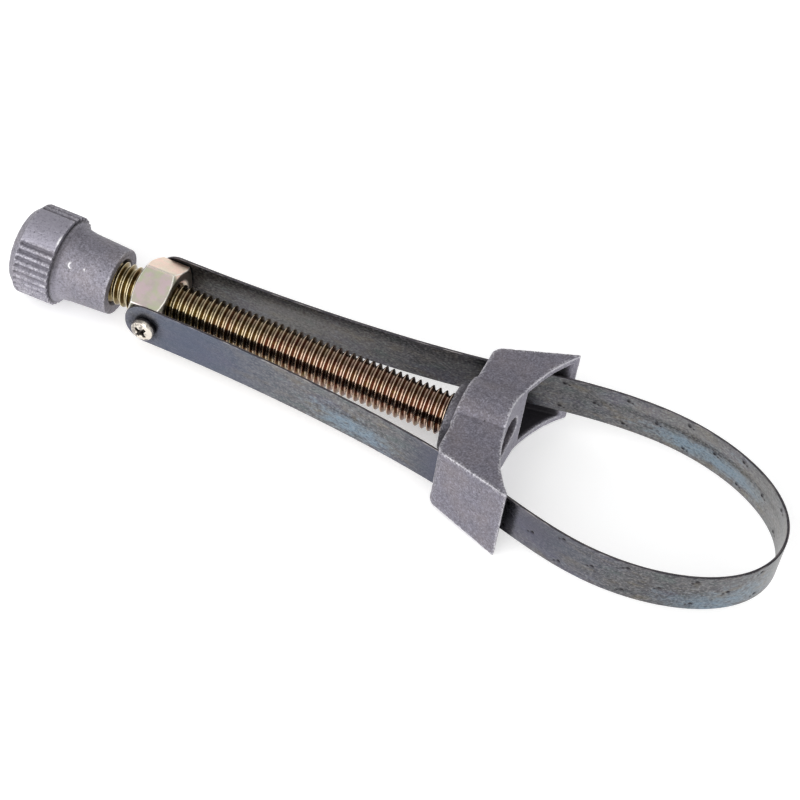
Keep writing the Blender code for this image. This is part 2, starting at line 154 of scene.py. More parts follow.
# The saddle's outline: half sizes at its back and front, the arc cut into its front, its
# barrel and collar round the screw, and how far inside it the strap's passages begin.
SADDLE_BACK = 6.0
SADDLE_FRONT = 29.0
SADDLE_HALF_Y = (20.45, 27.9)
SADDLE_HALF_Z = (11.15, 13.25)
SADDLE_ARC_R = 43.0
SADDLE_ARC_X = 62.5
SADDLE_BARREL_R = 8.9
SADDLE_COLLAR_R = 10.6
PASSAGE_ROOF = 1.1
PASSAGE_WALL = 0.7

# How the real saddle differs from its symmetrical model: its wings sit a little lower, and
# its near wall stands a little further out.
WINGS_LOWER = 0.6
NEAR_WALL_OUT = 1.0

# The washer and the ring that hold the screw in the saddle, as (back, thickness, outer
# radius, inner radius), and the opening in the ring.
WASHER = (11.8, 0.7, 5.9, 4.75)
RING = (12.9, 1.0, 5.6, 3.72)
RING_MOUTH = 5.0

spin = next(joint for joint in frame["joints"] if joint["name"] == "screw_spin")
origin = Vector((
    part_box("knob_casting")[0].x / MM - KNOB_BACK,
    spin["pos_m"][1] / MM,
    spin["pos_m"][2] / MM,
))
TOOL_TO_ROW = Matrix.Scale(MM, 4) @ Matrix.Translation(origin)


# -------------------------------- mesh helpers

def add_object(name, data):
    obj = bpy.data.objects.new(name, data)
    bpy.context.scene.collection.objects.link(obj)
    return obj


def from_bmesh(name, bm):
    mesh = bpy.data.meshes.new(name)
    bm.to_mesh(mesh)
    bm.free()
    return add_object(name, mesh)


def from_points(name, points, faces):
    mesh = bpy.data.meshes.new(name)
    mesh.from_pydata(np.asarray(points, float).tolist(), [], faces)
    return add_object(name, mesh)


def grid_faces(rows, columns, seam_shift=0):
    """Quads of a grid that closes round; the seam may join a row to a later one."""
    faces = []
    for row in range(rows - 1 - seam_shift):
        for column in range(columns):
            here = row * columns + column
            beside = here + 1
            if column == columns - 1:
                beside = (row + seam_shift) * columns
            faces.append((here, beside, beside + columns, here + columns))
    return faces


def mend(obj):
    """Merge coinciding points, close open ends and turn every face outwards."""
    bm = bmesh.new()
    bm.from_mesh(obj.data)
    bmesh.ops.remove_doubles(bm, verts=bm.verts, dist=WELD)
    bmesh.ops.holes_fill(bm, edges=[edge for edge in bm.edges if edge.is_boundary])
    bmesh.ops.recalc_face_normals(bm, faces=bm.faces)
    bm.to_mesh(obj.data)
    bm.free()
    obj.data.shade_smooth()


def bake(obj):
    """Replace the object's mesh by what its modifiers make of it."""
    bpy.context.view_layer.update()
    graph = bpy.context.evaluated_depsgraph_get()
    mesh = bpy.data.meshes.new_from_object(obj.evaluated_get(graph))
    obj.modifiers.clear()
    obj.data = mesh
    mesh.shade_smooth()


def combine(obj, other, operation):
    """Apply a Boolean with another solid and remove that solid."""
    modifier = obj.modifiers.new("solid", "BOOLEAN")
    modifier.operation = operation
    modifier.solver = "MANIFOLD"
    modifier.object = other
    bake(obj)
    bpy.data.objects.remove(other, do_unlink=True)


def skin(obj, voxel, rounds):
    """Rebuild the surface from voxels and smooth it, so that every edge is a little round."""
    remesh = obj.modifiers.new("voxels", "REMESH")
    remesh.mode = "VOXEL"
    remesh.voxel_size = voxel
    smooth = obj.modifiers.new("smooth", "SMOOTH")
    smooth.factor = 0.5
    smooth.iterations = rounds
    bake(obj)


def rounded(corners, step):
    """Points of an outline given by (x, radius, fillet) corners, at most a step apart."""
    bend_steps = 5
    corners = [(Vector(corner[:2]), sum(corner[2:])) for corner in corners]
    path = [corners[0][0]]
    for index in range(1, len(corners) - 1):
        corner, fillet = corners[index]
        back = (corners[index - 1][0] - corner).normalized()
        ahead = (corners[index + 1][0] - corner).normalized()
        if fillet <= 0.0:
            path.append(corner)
            continue
        half = 0.5 * back.angle(ahead)
        cut = fillet / math.tan(half)
        start = corner + back * cut
        end = corner + ahead * cut
        for done in range(bend_steps + 1):
            share = done / bend_steps
            path.append(start.lerp(corner, share).lerp(corner.lerp(end, share), share))
    path.append(corners[-1][0])
    points = [path[0]]
    for before, after in zip(path, path[1:]):
        pieces = max(1, math.ceil((after - before).length / step))
        points += [before.lerp(after, piece / pieces) for piece in range(1, pieces + 1)]
    return np.array([tuple(point) for point in points])


def turned(name, corners, steps, step=0.5, reshape=None):
    """Revolve a rounded outline about the X axis; reshape may change the radius anywhere."""
    outline = rounded(corners, step)
    angles = np.linspace(0.0, FULL_TURN, steps, endpoint=False)
    x = np.repeat(outline[:, 0], steps)
    radius = np.repeat(outline[:, 1], steps)
    turn = np.tile(angles, len(outline))
    if reshape:
        radius = reshape(x, turn, radius)
    points = np.column_stack((x, radius * np.cos(turn), radius * np.sin(turn)))
    obj = from_points(name, points, grid_faces(len(outline), steps))
    mend(obj)
    return obj


def smooth_step(value, low, high):
    """From 0 at low to 1 at high, level at both; high may be the smaller one."""
    share = np.clip((value - low) / (high - low), 0.0, 1.0)
    return share * share * (3.0 - 2.0 * share)


def bell(value, centre, half):
    """1 at the centre, falling off smoothly to both sides."""
    return np.exp(-((value - centre) / half) ** 2)


def point_array(mesh, what="co"):
    values = np.empty(len(mesh.vertices) * 3)
    mesh.vertices.foreach_get(what, values)
    return values.reshape(-1, 3)


def store(mesh, name, values):
    """Keep one number or vector for each point, under a name that a material can read."""
    kind, field = ("FLOAT", "value") if values.ndim == 1 else ("FLOAT_VECTOR", "vector")
    attribute = mesh.attributes.get(name) or mesh.attributes.new(name, kind, "POINT")
    attribute.data.foreach_set(field, values.astype(np.float32).ravel())


def fetch(mesh, name):
    values = np.empty(len(mesh.vertices))
    mesh.attributes[name].data.foreach_get("value", values)
    return values


def mark_bends(obj, gain, rounds=2):
    """Store how much each point stands out (ridge, and worn more broadly) or lies in a hollow."""
    mesh = obj.data
    points = point_array(mesh)
    normals = point_array(mesh, "normal")
    edges = np.empty(len(mesh.edges) * 2, int)
    mesh.edges.foreach_get("vertices", edges)
    first, second = edges.reshape(-1, 2).T
    step = points[second] - points[first]
    length = np.linalg.norm(step, axis=1) + 1e-9
    size = len(points)
    count = np.maximum(np.bincount(edges, minlength=size), 1)
    bend = np.bincount(first, (step * normals[first]).sum(1) / length, size)
    bend -= np.bincount(second, (step * normals[second]).sum(1) / length, size)
    bend /= count
    for done in range(WORN_ROUNDS):
        if done == rounds:
            store(mesh, "ridge", np.clip(-bend * gain, 0.0, 1.0))
            store(mesh, "hollow", np.clip(bend * gain, 0.0, 1.0))
        around = np.bincount(first, bend[second], size) + np.bincount(second, bend[first], size)
        bend = 0.5 * bend + 0.5 * around / count
    store(mesh, "worn", np.clip(-bend * gain * WORN_GAIN, 0.0, 1.0))


def roughen(obj, amount, size, seed):
    """Move the surface in and out like the skin of a casting."""
    mesh = obj.data
    points = point_array(mesh)
    normals = point_array(mesh, "normal")
    shift = Vector((seed, 2.0 * seed, 3.0 * seed))
    lift = np.array([noise.fractal(Vector(point) / size + shift, 0.8, 2.0, 3) for point in points])
    points += normals * (amount * lift)[:, None]
    mesh.vertices.foreach_set("co", points.ravel())
    mesh.update()


def place(obj, body, node, material):
    """Put a finished piece in the row frame, on its body, in place of its CAD node."""
    obj.data.transform(TOOL_TO_ROW)
    obj.data.materials.clear()
    obj.data.materials.append(material)
    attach(obj, body)
    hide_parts(node)


# -------------------------------- materials

# The sockets of a Mix node that mixes colours; it has others by the same names.
MIX_SHARE = 0
MIX_FIRST = 6
MIX_SECOND = 7
MIX_RESULT = 2


class Nodes:
    """The node tree of a material or world, and short calls for its nodes."""

    def __init__(self, owner):
        owner.use_nodes = True
        self.tree = owner.node_tree
        self.tree.nodes.clear()

    def add(self, kind, inputs=None, **settings):
        node = self.tree.nodes.new("ShaderNode" + kind)
        for key, value in settings.items():
            setattr(node, key, value)
        for key, value in (inputs or {}).items():
            if isinstance(value, bpy.types.NodeSocket):
                self.tree.links.new(value, node.inputs[key])
            else:
                node.inputs[key].default_value = value
        return node

    def ramp(self, value, low, high, bottom=0.0, top=1.0):
        """The value, stretched so that low becomes bottom and high becomes top."""
        return self.add("MapRange", {
            "Value": value, "From Min": low, "From Max": high, "To Min": bottom, "To Max": top,
        }).outputs["Result"]


class Look(Nodes):
    """A material, with calls for the patterns and colours that it is made of."""

    def __init__(self, name):
        self.material = bpy.data.materials.new(name)
        super().__init__(self.material)
        self.place = self.add("TexCoord").outputs["Object"]

    def attribute(self, name, output="Fac"):
        return self.add("Attribute", attribute_name=name).outputs[output]

    def noise(self, size, detail=3.0, where=None, roughness=0.55, distortion=0.0):
        """Noise of a feature size in the units of where, or in millimetres without it."""
        return self.add("TexNoise", {
            "Vector": where or self.place,
            "Scale": 1.0 / size if where else 1.0 / (size * MM),
            "Detail": detail,
            "Roughness": roughness,
            "Distortion": distortion,
        }).outputs["Fac"]

    def moved(self, vector, scale=(1.0, 1.0, 1.0), shift=(0.0, 0.0, 0.0)):
        inputs = {"Vector": vector, "Scale": scale, "Location": shift}
        return self.add("Mapping", inputs).outputs["Vector"]

    def maths(self, operation, first, second=0.0):
        node = self.add("Math", {0: first, 1: second}, operation=operation)
        return node.outputs["Value"]

    def times(self, first, second):
        return self.maths("MULTIPLY", first, second)

    def paint(self, colour, *coats):
        """The colour under coats, each a (share, colour) that covers where its share is 1."""
        for share, coat in coats:
            first, second = ((*each, 1.0) if isinstance(each, tuple) else each
                             for each in (colour, coat))
            inputs = {MIX_SHARE: share, MIX_FIRST: first, MIX_SECOND: second}
            colour = self.add("Mix", inputs, data_type="RGBA").outputs[MIX_RESULT]
        return colour

    def spots(self, spacing, full, reach, where):
        """Sparse round spots, 1 up to full from their middle and 0 beyond reach."""
        node = self.add("TexVoronoi", {"Vector": where, "Scale": 1.0 / spacing})
        return self.ramp(node.outputs["Distance"], reach, full)

    def relief(self, *layers):
        """The normal that layers of relief give, each a (height, depth in millimetres)."""
        inputs = {"Strength": 1.0}
        for height, depth in layers:
            inputs |= {"Height": height, "Distance": depth * MM}
            inputs["Normal"] = self.add("Bump", inputs).outputs["Normal"]
        return inputs["Normal"]

    def surface(self, colour, roughness, normal, metallic, specular=0.5, glow=0.0):
        shader = self.add("BsdfPrincipled", {
            "Base Color": colour,
            "Roughness": roughness,
            "Metallic": metallic,
            "Specular IOR Level": specular,
            "Emission Strength": glow,
            "Normal": normal,
        })
        self.add("OutputMaterial", {"Surface": shader.outputs[0]})
        return self.material


def cast_metal(name, tone, seed):
    """Tumbled aluminium casting: matt, finely mottled, with small pits, bright rubbed edges that
    are also painted highlights, painted shade in hollows, passages and recesses, and painted light
    on the knob's lower flare.
    """
    deep, dark, light, worn = (tuple(share * part for part in tone)
                               for share in (0.5, 0.78, 1.25, 1.8))
    warm = (1.25 * tone[0], 1.15 * tone[1], tone[2])
    # A black for the pits, and a black of painted shade for hollows and corners.
    pit_black, hollow_shade_black = (0.03, 0.028, 0.032), (0.03, 0.027, 0.032)
    # A black of painted shade, and bare metal that also paints the edges' highlights.
    shade_and_grime_black, bare_metal_and_highlight = (0.022, 0.020, 0.024), (0.86, 0.85, 0.88)
    look = Look(name)
    where = look.moved(look.place, shift=(seed, 0.5 * seed, 0.25 * seed))
    clouds = look.noise(8.0 * MM, 4.0, where)
    mottle = look.noise(1.1 * MM, 4.0, where, 0.65)
    grain = look.noise(0.55 * MM, 3.0, where, 0.75)
    pits = look.spots(2.4 * MM, 0.03, 0.14, where)
    # Hand polish, and on the knob's flare painted light.
    handled_and_lit = look.attribute("handled_and_lit")
    # Painted shade, read from the mesh.
    painted_shade_and_grime = look.attribute("painted_shade_and_grime")

    # Rubbed bare edges and scuffs, which also stand in for the edges' highlights.
    edges = look.ramp(look.attribute("ridge"), 0.25, 0.8)
    edges = look.times(edges, look.ramp(mottle, 0.35, 0.65, 0.2, 0.6))
    scuffs = look.times(look.attribute("worn"), look.ramp(grain, 0.46, 0.64, 0.0, 0.7))
    # Bright edges are kept off where shade is painted.
    unshaded = look.maths("SUBTRACT", 1.0, painted_shade_and_grime)
    rubbed = look.times(look.maths("MAXIMUM", edges, scuffs), unshaded)
    # Bare stake marks, and painted highlight on the knob's rim nick and along the saddle's ground
    # arris.
    rubbed = look.maths("MAXIMUM", rubbed, look.attribute("stake"))
    colour = look.paint(
        dark,
        (look.ramp(mottle, 0.32, 0.68), light),
        (look.ramp(clouds, 0.42, 0.7, 0.0, 0.6), warm),
        # Polished places, and painted light on the knob's lower flare.
        (look.times(handled_and_lit, look.ramp(mottle, 0.3, 0.65, 0.7, 1.0)), worn),
        (look.ramp(grain, 0.50, 0.70, 0.0, 0.75), worn),
        (look.ramp(grain, 0.46, 0.28, 0.0, 0.75), deep),
        (look.times(pits, 0.7), pit_black),
        # Painted shade in hollows and corners.
        (look.times(look.attribute("hollow"), 0.85), hollow_shade_black),
        # Painted shade in the passages, bore, collar, under the rim and in the far grooves.
        (painted_shade_and_grime, shade_and_grime_black),
        # Bare rubbed edges, also a painted highlight.
        (rubbed, bare_metal_and_highlight),
    )
    roughness = look.ramp(mottle, 0.3, 0.7, 0.62, 0.52)
    roughness = look.maths("SUBTRACT", roughness, look.times(rubbed, 0.25))
    roughness = look.maths("SUBTRACT", roughness, look.times(handled_and_lit, 0.08))
    holes = look.times(pits, -1.0)
    normal = look.relief((clouds, 0.06), (mottle, 0.06), (grain, 0.07), (holes, 0.10))
    return look.surface(colour, roughness, normal, 0.5)


def yellow_zinc():
    """Yellow-passivated thread: dark flanks, olive to maroon, between crests and roots painted pale
    as the lines of reflected light on them.
    """
    olive, maroon, moss = (0.18, 0.13, 0.055), (0.21, 0.105, 0.07), (0.24, 0.22, 0.085)
    straw, rose, gold = (0.66, 0.57, 0.38), (0.66, 0.50, 0.40), (0.50, 0.43, 0.26)
    olive_until, maroon_from, drift_by = -0.070, -0.015, 0.03
    look = Look("yellow_zinc")
    height = look.attribute("height")
    along = look.add("SeparateXYZ", {"Vector": look.place}).outputs["X"]
    drift = look.noise(9.0, 2.0)
    spots = look.noise(1.6, 3.0)
    along = look.maths("ADD", along, look.ramp(drift, 0.3, 0.7, -drift_by, drift_by))
    tint = look.ramp(along, olive_until, maroon_from)
    flank = look.paint(olive, (tint, maroon), (look.ramp(spots, 0.52, 0.75, 0.0, 0.8), moss))
    # Painted highlight: the pale colour of the lines of light on crests and roots.
    bright = look.paint(straw, (tint, rose), (look.ramp(drift, 0.5, 0.7, 0.0, 0.6), gold))
    crest = look.ramp(height, 0.90, 0.98)
    root = look.times(look.ramp(height, 0.10, 0.02), 0.55)
    # Crests, and roots a little less, painted pale as highlight lines.
    colour = look.paint(flank, (look.maths("MAXIMUM", crest, root), bright))
    roughness = look.ramp(spots, 0.3, 0.8, 0.15, 0.24)
    return look.surface(colour, roughness, look.relief((spots, 0.004)), 1.0)


def pale_zinc():
    """Clear-passivated nut with the faint green and pink films of thin zinc plating; its far flats
    are pink and painted lighter as if lit from above, and its inner end face has painted shade.
    """
    grey_film, green_film = (0.32, 0.275, 0.265), (0.315, 0.325, 0.235)
    lilac_patch = (0.375, 0.29, 0.31)
    # Pink film tints, painted light enough to stand for the light on the far flats.
    lit_pink_film, lit_cream_film = (0.90, 0.66, 0.55), (0.80, 0.68, 0.54)
    # Dull spots, bare edges, and a dark colour of painted shade for the inner end face.
    dull_spots, bare_edge, end_shade = (0.30, 0.29, 0.25), (0.95, 0.93, 0.86), (0.10, 0.085, 0.075)
    green_until, pink_from = 0.0005, 0.0018
    look = Look("pale_zinc")
    side = look.add("SeparateXYZ", {"Vector": look.place}).outputs["Y"]
    films = look.noise(6.5, 2.0, distortion=1.2)
    patches = look.noise(3.2 * MM, 3.0, look.moved(look.place, shift=(0.02, 0.01, 0.03)))
    fine = look.noise(0.35, 3.0)
    lit_pink_side = look.paint(lit_pink_film, (look.ramp(films, 0.4, 0.65), lit_cream_film))
    wear = look.ramp(look.attribute("ridge"), 0.2, 0.7)
    wear = look.times(wear, look.ramp(fine, 0.3, 0.6, 0.4, 0.9))
    colour = look.paint(
        grey_film,
        (look.ramp(films, 0.42, 0.58), green_film),
        (look.ramp(patches, 0.46, 0.62, 0.0, 0.9), lilac_patch),
        # Painted light: the far side is pink and much lighter, as if lit from above.
        (look.ramp(side, green_until, pink_from), lit_pink_side),
        (look.ramp(fine, 0.4, 0.8, 0.0, 0.3), dull_spots),
        (wear, bare_edge),
        # Painted shade on the inner end face.
        (look.attribute("shade"), end_shade),
    )
    roughness = look.ramp(patches, 0.3, 0.7, 0.40, 0.30)
    return look.surface(colour, roughness, look.relief((patches, 0.02), (fine, 0.008)), 1.0)


def blued_steel():
    """Rolled spring steel, blued: mottled grey, slate and pale blue patches, dark pits.

    The noise is laid on the unrolled band, with so many features in a millimetre each way.
    """
    look = Look("blued_spring_steel")
    flat = look.attribute("flat", "Vector")

    def laid(along, across, detail, roughness=0.6, shift=(0.0, 0.0, 0.0)):
        where = look.moved(flat, (along, across, 1.0), shift)
        return look.noise(1.0, detail, where, roughness)

    streaks = laid(0.05, 0.9, 4.0)
    scratches = laid(0.16, 4.5, 3.0)
    clouds = laid(0.05, 0.11, 3.0, 0.55, (3.0, 1.0, 0.0))
    mottle = laid(0.32, 0.55, 5.0, 0.7, (7.0, 0.0, 0.0))
    grain = laid(1.1, 1.7, 3.0, 0.65, (2.0, 5.0, 0.0))
    tints = laid(0.12, 0.28, 5.0, 0.65, (1.0, 9.0, 0.0))
    slate = look.attribute("slate")

    blue = look.maths("ADD", look.ramp(mottle, 0.3, 0.7, -0.45, 0.45), look.attribute("bluing"))
    for pattern in (grain, clouds):
        blue = look.maths("ADD", blue, look.ramp(pattern, 0.3, 0.7, -0.2, 0.2))
    blue = look.times(look.ramp(blue, 0.2, 0.95, 0.0, 0.85), look.maths("SUBTRACT", 1.0, slate))
    rubbed = look.times(look.attribute("pale"), look.ramp(grain, 0.3, 0.6, 0.35, 1.0))
    # Painted shade, shadow and reflection, with some grime, broken up by the grain.
    shade_and_grime_mask = look.times(look.attribute("painted_shade_and_grime"), look.ramp(grain, 0.3, 0.62, 1.0, 0.45))

    dark_grey, mid_grey = (0.080, 0.080, 0.090), (0.205, 0.200, 0.205)
    rolled_grey, violet_grey = (0.13, 0.135, 0.145), (0.135, 0.125, 0.180)
    tan, green_grey = (0.205, 0.175, 0.125), (0.115, 0.150, 0.145)
    light_grain, dark_grain = (0.34, 0.335, 0.325), (0.05, 0.048, 0.050)
    rubbed_grey, scratch = (0.30, 0.295, 0.285), (0.065, 0.062, 0.065)
    pale_blue, slate_blue = (0.185, 0.265, 0.335), (0.090, 0.106, 0.155)
    slate_violet, slate_cloud = (0.088, 0.086, 0.115), (0.105, 0.108, 0.160)
    # A black for painted shade and grime, and one for the punch pits.
    shade_and_grime_black, pit_black = (0.020, 0.019, 0.022), (0.02, 0.017, 0.02)
    dull_edge, bare_edge = (0.05, 0.045, 0.055), (0.26, 0.24, 0.24)
    plain = look.paint(
        slate_blue,
        (look.attribute("violet"), slate_violet),
        (look.ramp(clouds, 0.4, 0.7, 0.0, 0.5), slate_cloud),
    )
    edge = look.paint(dull_edge, (look.ramp(tints, 0.48, 0.6), bare_edge))
    colour = look.paint(
        dark_grey,
        (look.ramp(mottle, 0.36, 0.64), mid_grey),
        (look.ramp(streaks, 0.42, 0.68, 0.0, 0.4), rolled_grey),
        (look.ramp(tints, 0.52, 0.66, 0.0, 0.55), tan),
        (look.ramp(tints, 0.47, 0.34, 0.0, 0.55), green_grey),
        (look.ramp(clouds, 0.52, 0.68, 0.0, 0.5), violet_grey),
        (blue, pale_blue),
        (look.ramp(grain, 0.51, 0.70, 0.0, 0.7), light_grain),
        (look.ramp(grain, 0.45, 0.30, 0.0, 0.65), dark_grain),
        (rubbed, rubbed_grey),
        (look.ramp(scratches, 0.60, 0.78, 0.0, 0.3), scratch),
        (look.times(slate, 0.88), plain),
        # Painted shade, shadow and reflection, with some grime.
        (shade_and_grime_mask, shade_and_grime_black),
        (look.times(look.attribute("pit"), 0.9), pit_black),
        (look.ramp(look.attribute("rim"), 0.3, 0.8), edge),
    )
    roughness = look.ramp(mottle, 0.3, 0.7, 0.28, 0.42)
    roughness = look.maths("SUBTRACT", roughness, look.times(slate, 0.10))
    normal = look.relief((streaks, 0.008), (mottle, 0.014), (scratches, 0.005))
    return look.surface(colour, roughness, normal, 0.9)


def bright_plate(name, tone, roughness, stain_and_dark_reflection):
    """Smooth plated or plain steel with a little staining and fine scratches; on the nickel the
    blotches are painted dark reflections, and hollows, the screws' recesses and their heads' sides
    get painted shade.
    """
    hollow_shade_black, recess_shade_black = (0.06, 0.05, 0.04), (0.012, 0.010, 0.010)
    look = Look(name)
    clouds = look.noise(1.5, 3.0)
    fine = look.noise(0.22, 3.0)
    colour = look.paint(
        tone,
        # Blotches: a little staining, and on the nickel painted dark reflections.
        (look.ramp(clouds, 0.50, 0.60, 0.0, 0.75), stain_and_dark_reflection),
        # Painted shade in hollows and corners.
        (look.times(look.attribute("hollow"), 0.7), hollow_shade_black),
        # Painted shade in the screw's recess and on its head's side.
        (look.times(look.attribute("recess"), 0.93), recess_shade_black),
    )
    rough = look.ramp(fine, 0.3, 0.7, roughness - 0.04, roughness + 0.08)
    return look.surface(colour, rough, look.relief((clouds, 0.012), (fine, 0.003)), 1.0)


# -------------------------------- the screw and what turns with it

def thread_profile():
    """One pitch of the thread, from crest to crest, as (distance along, share of height)."""
    half = 0.5 * PITCH
    foot = half - ROOT_HALF
    half_profile = [
        (0.0, 1.0),
        (CREST_HALF - CREST_ROUND, 1.0),
        (CREST_HALF + CREST_ROUND, 0.96),
        (0.5 * (CREST_HALF + foot), 0.5),
        (foot - ROOT_ROUND, 0.04),
        (foot + ROOT_ROUND, 0.0),
    ]
    mirrored = [(PITCH - offset, share) for offset, share in half_profile[:0:-1]]
    return np.array(half_profile + [(half, 0.0)] + mirrored).T


def build_drive_screw():
    """A right-hand thread wound as one sheared grid, ending in a plain grooved journal."""
    offsets, lift = thread_profile()
    turns = math.ceil((THREAD_FRONT - THREAD_BACK) / PITCH) + 3
    start = THREAD_BACK - 2.0 * PITCH
    rows = np.concatenate([start + PITCH * done + offsets for done in range(turns)])
    heights = np.tile(ROOT_R + (CREST_R - ROOT_R) * lift, turns)
    angles = np.linspace(0.0, FULL_TURN, THREAD_STEPS, endpoint=False)
    x = (rows[:, None] + PITCH * angles[None, :] / FULL_TURN).ravel()
    x = np.clip(x, THREAD_BACK, THREAD_FRONT)
    ends = (THREAD_BACK, THREAD_BACK + THREAD_LEAD, THREAD_FRONT - THREAD_LEAD, THREAD_FRONT)
    limit = np.interp(x, ends, (ROOT_R, CREST_R, CREST_R, JOURNAL_R))
    radius = np.minimum(np.repeat(heights, THREAD_STEPS), limit)
    turn = np.tile(angles, len(rows))
    points = np.column_stack((x, radius * np.cos(turn), radius * np.sin(turn)))
    faces = grid_faces(len(rows), THREAD_STEPS, len(offsets))
    screw = from_points("drive_screw_threaded", points, faces)
    journal = turned("journal", [
        (THREAD_FRONT, JOURNAL_R),
        (GROOVE_START, JOURNAL_R, 0.1),
        (GROOVE_START, GROOVE_R, 0.15),
        (GROOVE_END, GROOVE_R, 0.15),
        (GROOVE_END, JOURNAL_R, 0.1),
        (SCREW_FRONT, JOURNAL_R, 0.5),
        (SCREW_FRONT, 1.0, 0.3),
        (SCREW_FRONT - 0.9, 0.0),
    ], THREAD_STEPS)
    bm = bmesh.new()
    bm.from_mesh(screw.data)
    bm.from_mesh(journal.data)
    caps = [face for face in bm.faces if len(face.verts) > 4]
    bmesh.ops.delete(bm, geom=caps, context="FACES")
    bm.to_mesh(screw.data)
    bm.free()
    bpy.data.objects.remove(journal, do_unlink=True)
    mend(screw)
    _, y, z = point_array(screw.data).T
    height = (np.hypot(y, z) - ROOT_R) / (CREST_R - ROOT_R)
    store(screw.data, "height", np.clip(height, 0.0, 1.0))
    return screw


def from_centre_deg(turn, centre_deg):
    """The angle from a direction, between -180 and 180 degrees."""
    return (np.degrees(turn) - centre_deg + 180.0) % 360.0 - 180.0


def grip_grooves(x, turn):
    """How deep each point lies in the grip grooves on two sides of the head, from 0 to 1."""
    sharpness = 1.6
    share = np.zeros_like(x)
    for side_deg in (90.0, 270.0):
        away = from_centre_deg(turn, PANEL_AT_DEG + side_deg)
        wave = 0.5 + 0.5 * np.cos(FULL_TURN * away / RIB_PITCH_DEG)
        share = np.maximum(share, np.where(np.abs(away) < RIBS_HALF_DEG, wave ** sharpness, 0.0))
    return share * smooth_step(x, RIB_START, RIB_START + RIB_RUN_IN) * (x < KNOB_RIM + 0.05)


def stake_marks(x, turn, radius):
    """Crescent dents on the neck, from 1 at the bottom to below 0 on their raised lip."""
    dent = np.zeros_like(x)
    for mark_x, mark_deg, size in STAKES:
        across = np.radians(from_centre_deg(turn, mark_deg)) * radius
        away = np.hypot(x - mark_x, across)
        side = (mark_x - x + 0.4 * across) / np.maximum(away, 0.01)
        crescent = bell(away, size, 0.36 * size) * np.clip(side + 0.3, 0.0, 1.0)
        lip = bell(away, 1.7 * size, 0.3 * size) * np.clip(side, 0.0, 1.0)
        dent += np.where(radius > STAKE_MIN_R, crescent - 0.5 * lip, 0.0)
    return dent


def knob_relief(x, turn, radius):
    """Cut the grip grooves into the head and press the stake marks into the neck."""
    cut = RIB_DEPTH * grip_grooves(x, turn)
    cut = np.minimum(cut, np.maximum(radius - (KNOB_HEAD_R - RIB_DEPTH), 0.0))
    return radius - cut - STAKE_DEPTH * stake_marks(x, turn, radius)


def build_knob():
    """The knob, turned in one with its bore, then marked and given a cast skin."""
    knob = turned("knob_ribbed", [
        (KNOB_BACK, 0.0),
        (KNOB_BACK, 10.9, 1.1),
        (KNOB_CAP_END, KNOB_CAP_R, 0.35),
        (KNOB_CAP_END + 0.15, KNOB_HEAD_R, 0.12),
        (KNOB_RIM, KNOB_HEAD_R, 0.14),
        (KNOB_RIM, KNOB_UNDERCUT_R, 0.05),
        (KNOB_RIM + 0.3, KNOB_UNDERCUT_R, 0.05),
        (KNOB_RIM + 0.6, KNOB_UNDERCUT_R + 0.3, 0.15),
        (KNOB_RIM + 1.3, 11.1, 1.0),
        (KNOB_RIM + 5.0, 10.45, 2.5),
        (KNOB_NECK_END, 9.85, 0.3),
        (KNOB_NECK_END, KNOB_BORE_R + 0.6, 0.3),
        (KNOB_NECK_END - 1.0, KNOB_BORE_R, 0.3),
        (KNOB_BORE_START, KNOB_BORE_R),
        (KNOB_BORE_START, 0.0),
    ], KNOB_STEPS, 0.25, knob_relief)
    mark_knob(knob)
    away_from_end = smooth_step(point_array(knob.data)[:, 0], KNOB_BACK + 0.1, KNOB_BACK + 0.6)
    roughen(knob, 0.045, 1.4, 1.7)
    mark_bends(knob, 4.0, 2)
    for name in ("ridge", "hollow", "worn"):
        store(knob.data, name, fetch(knob.data, name) * away_from_end)
    return knob


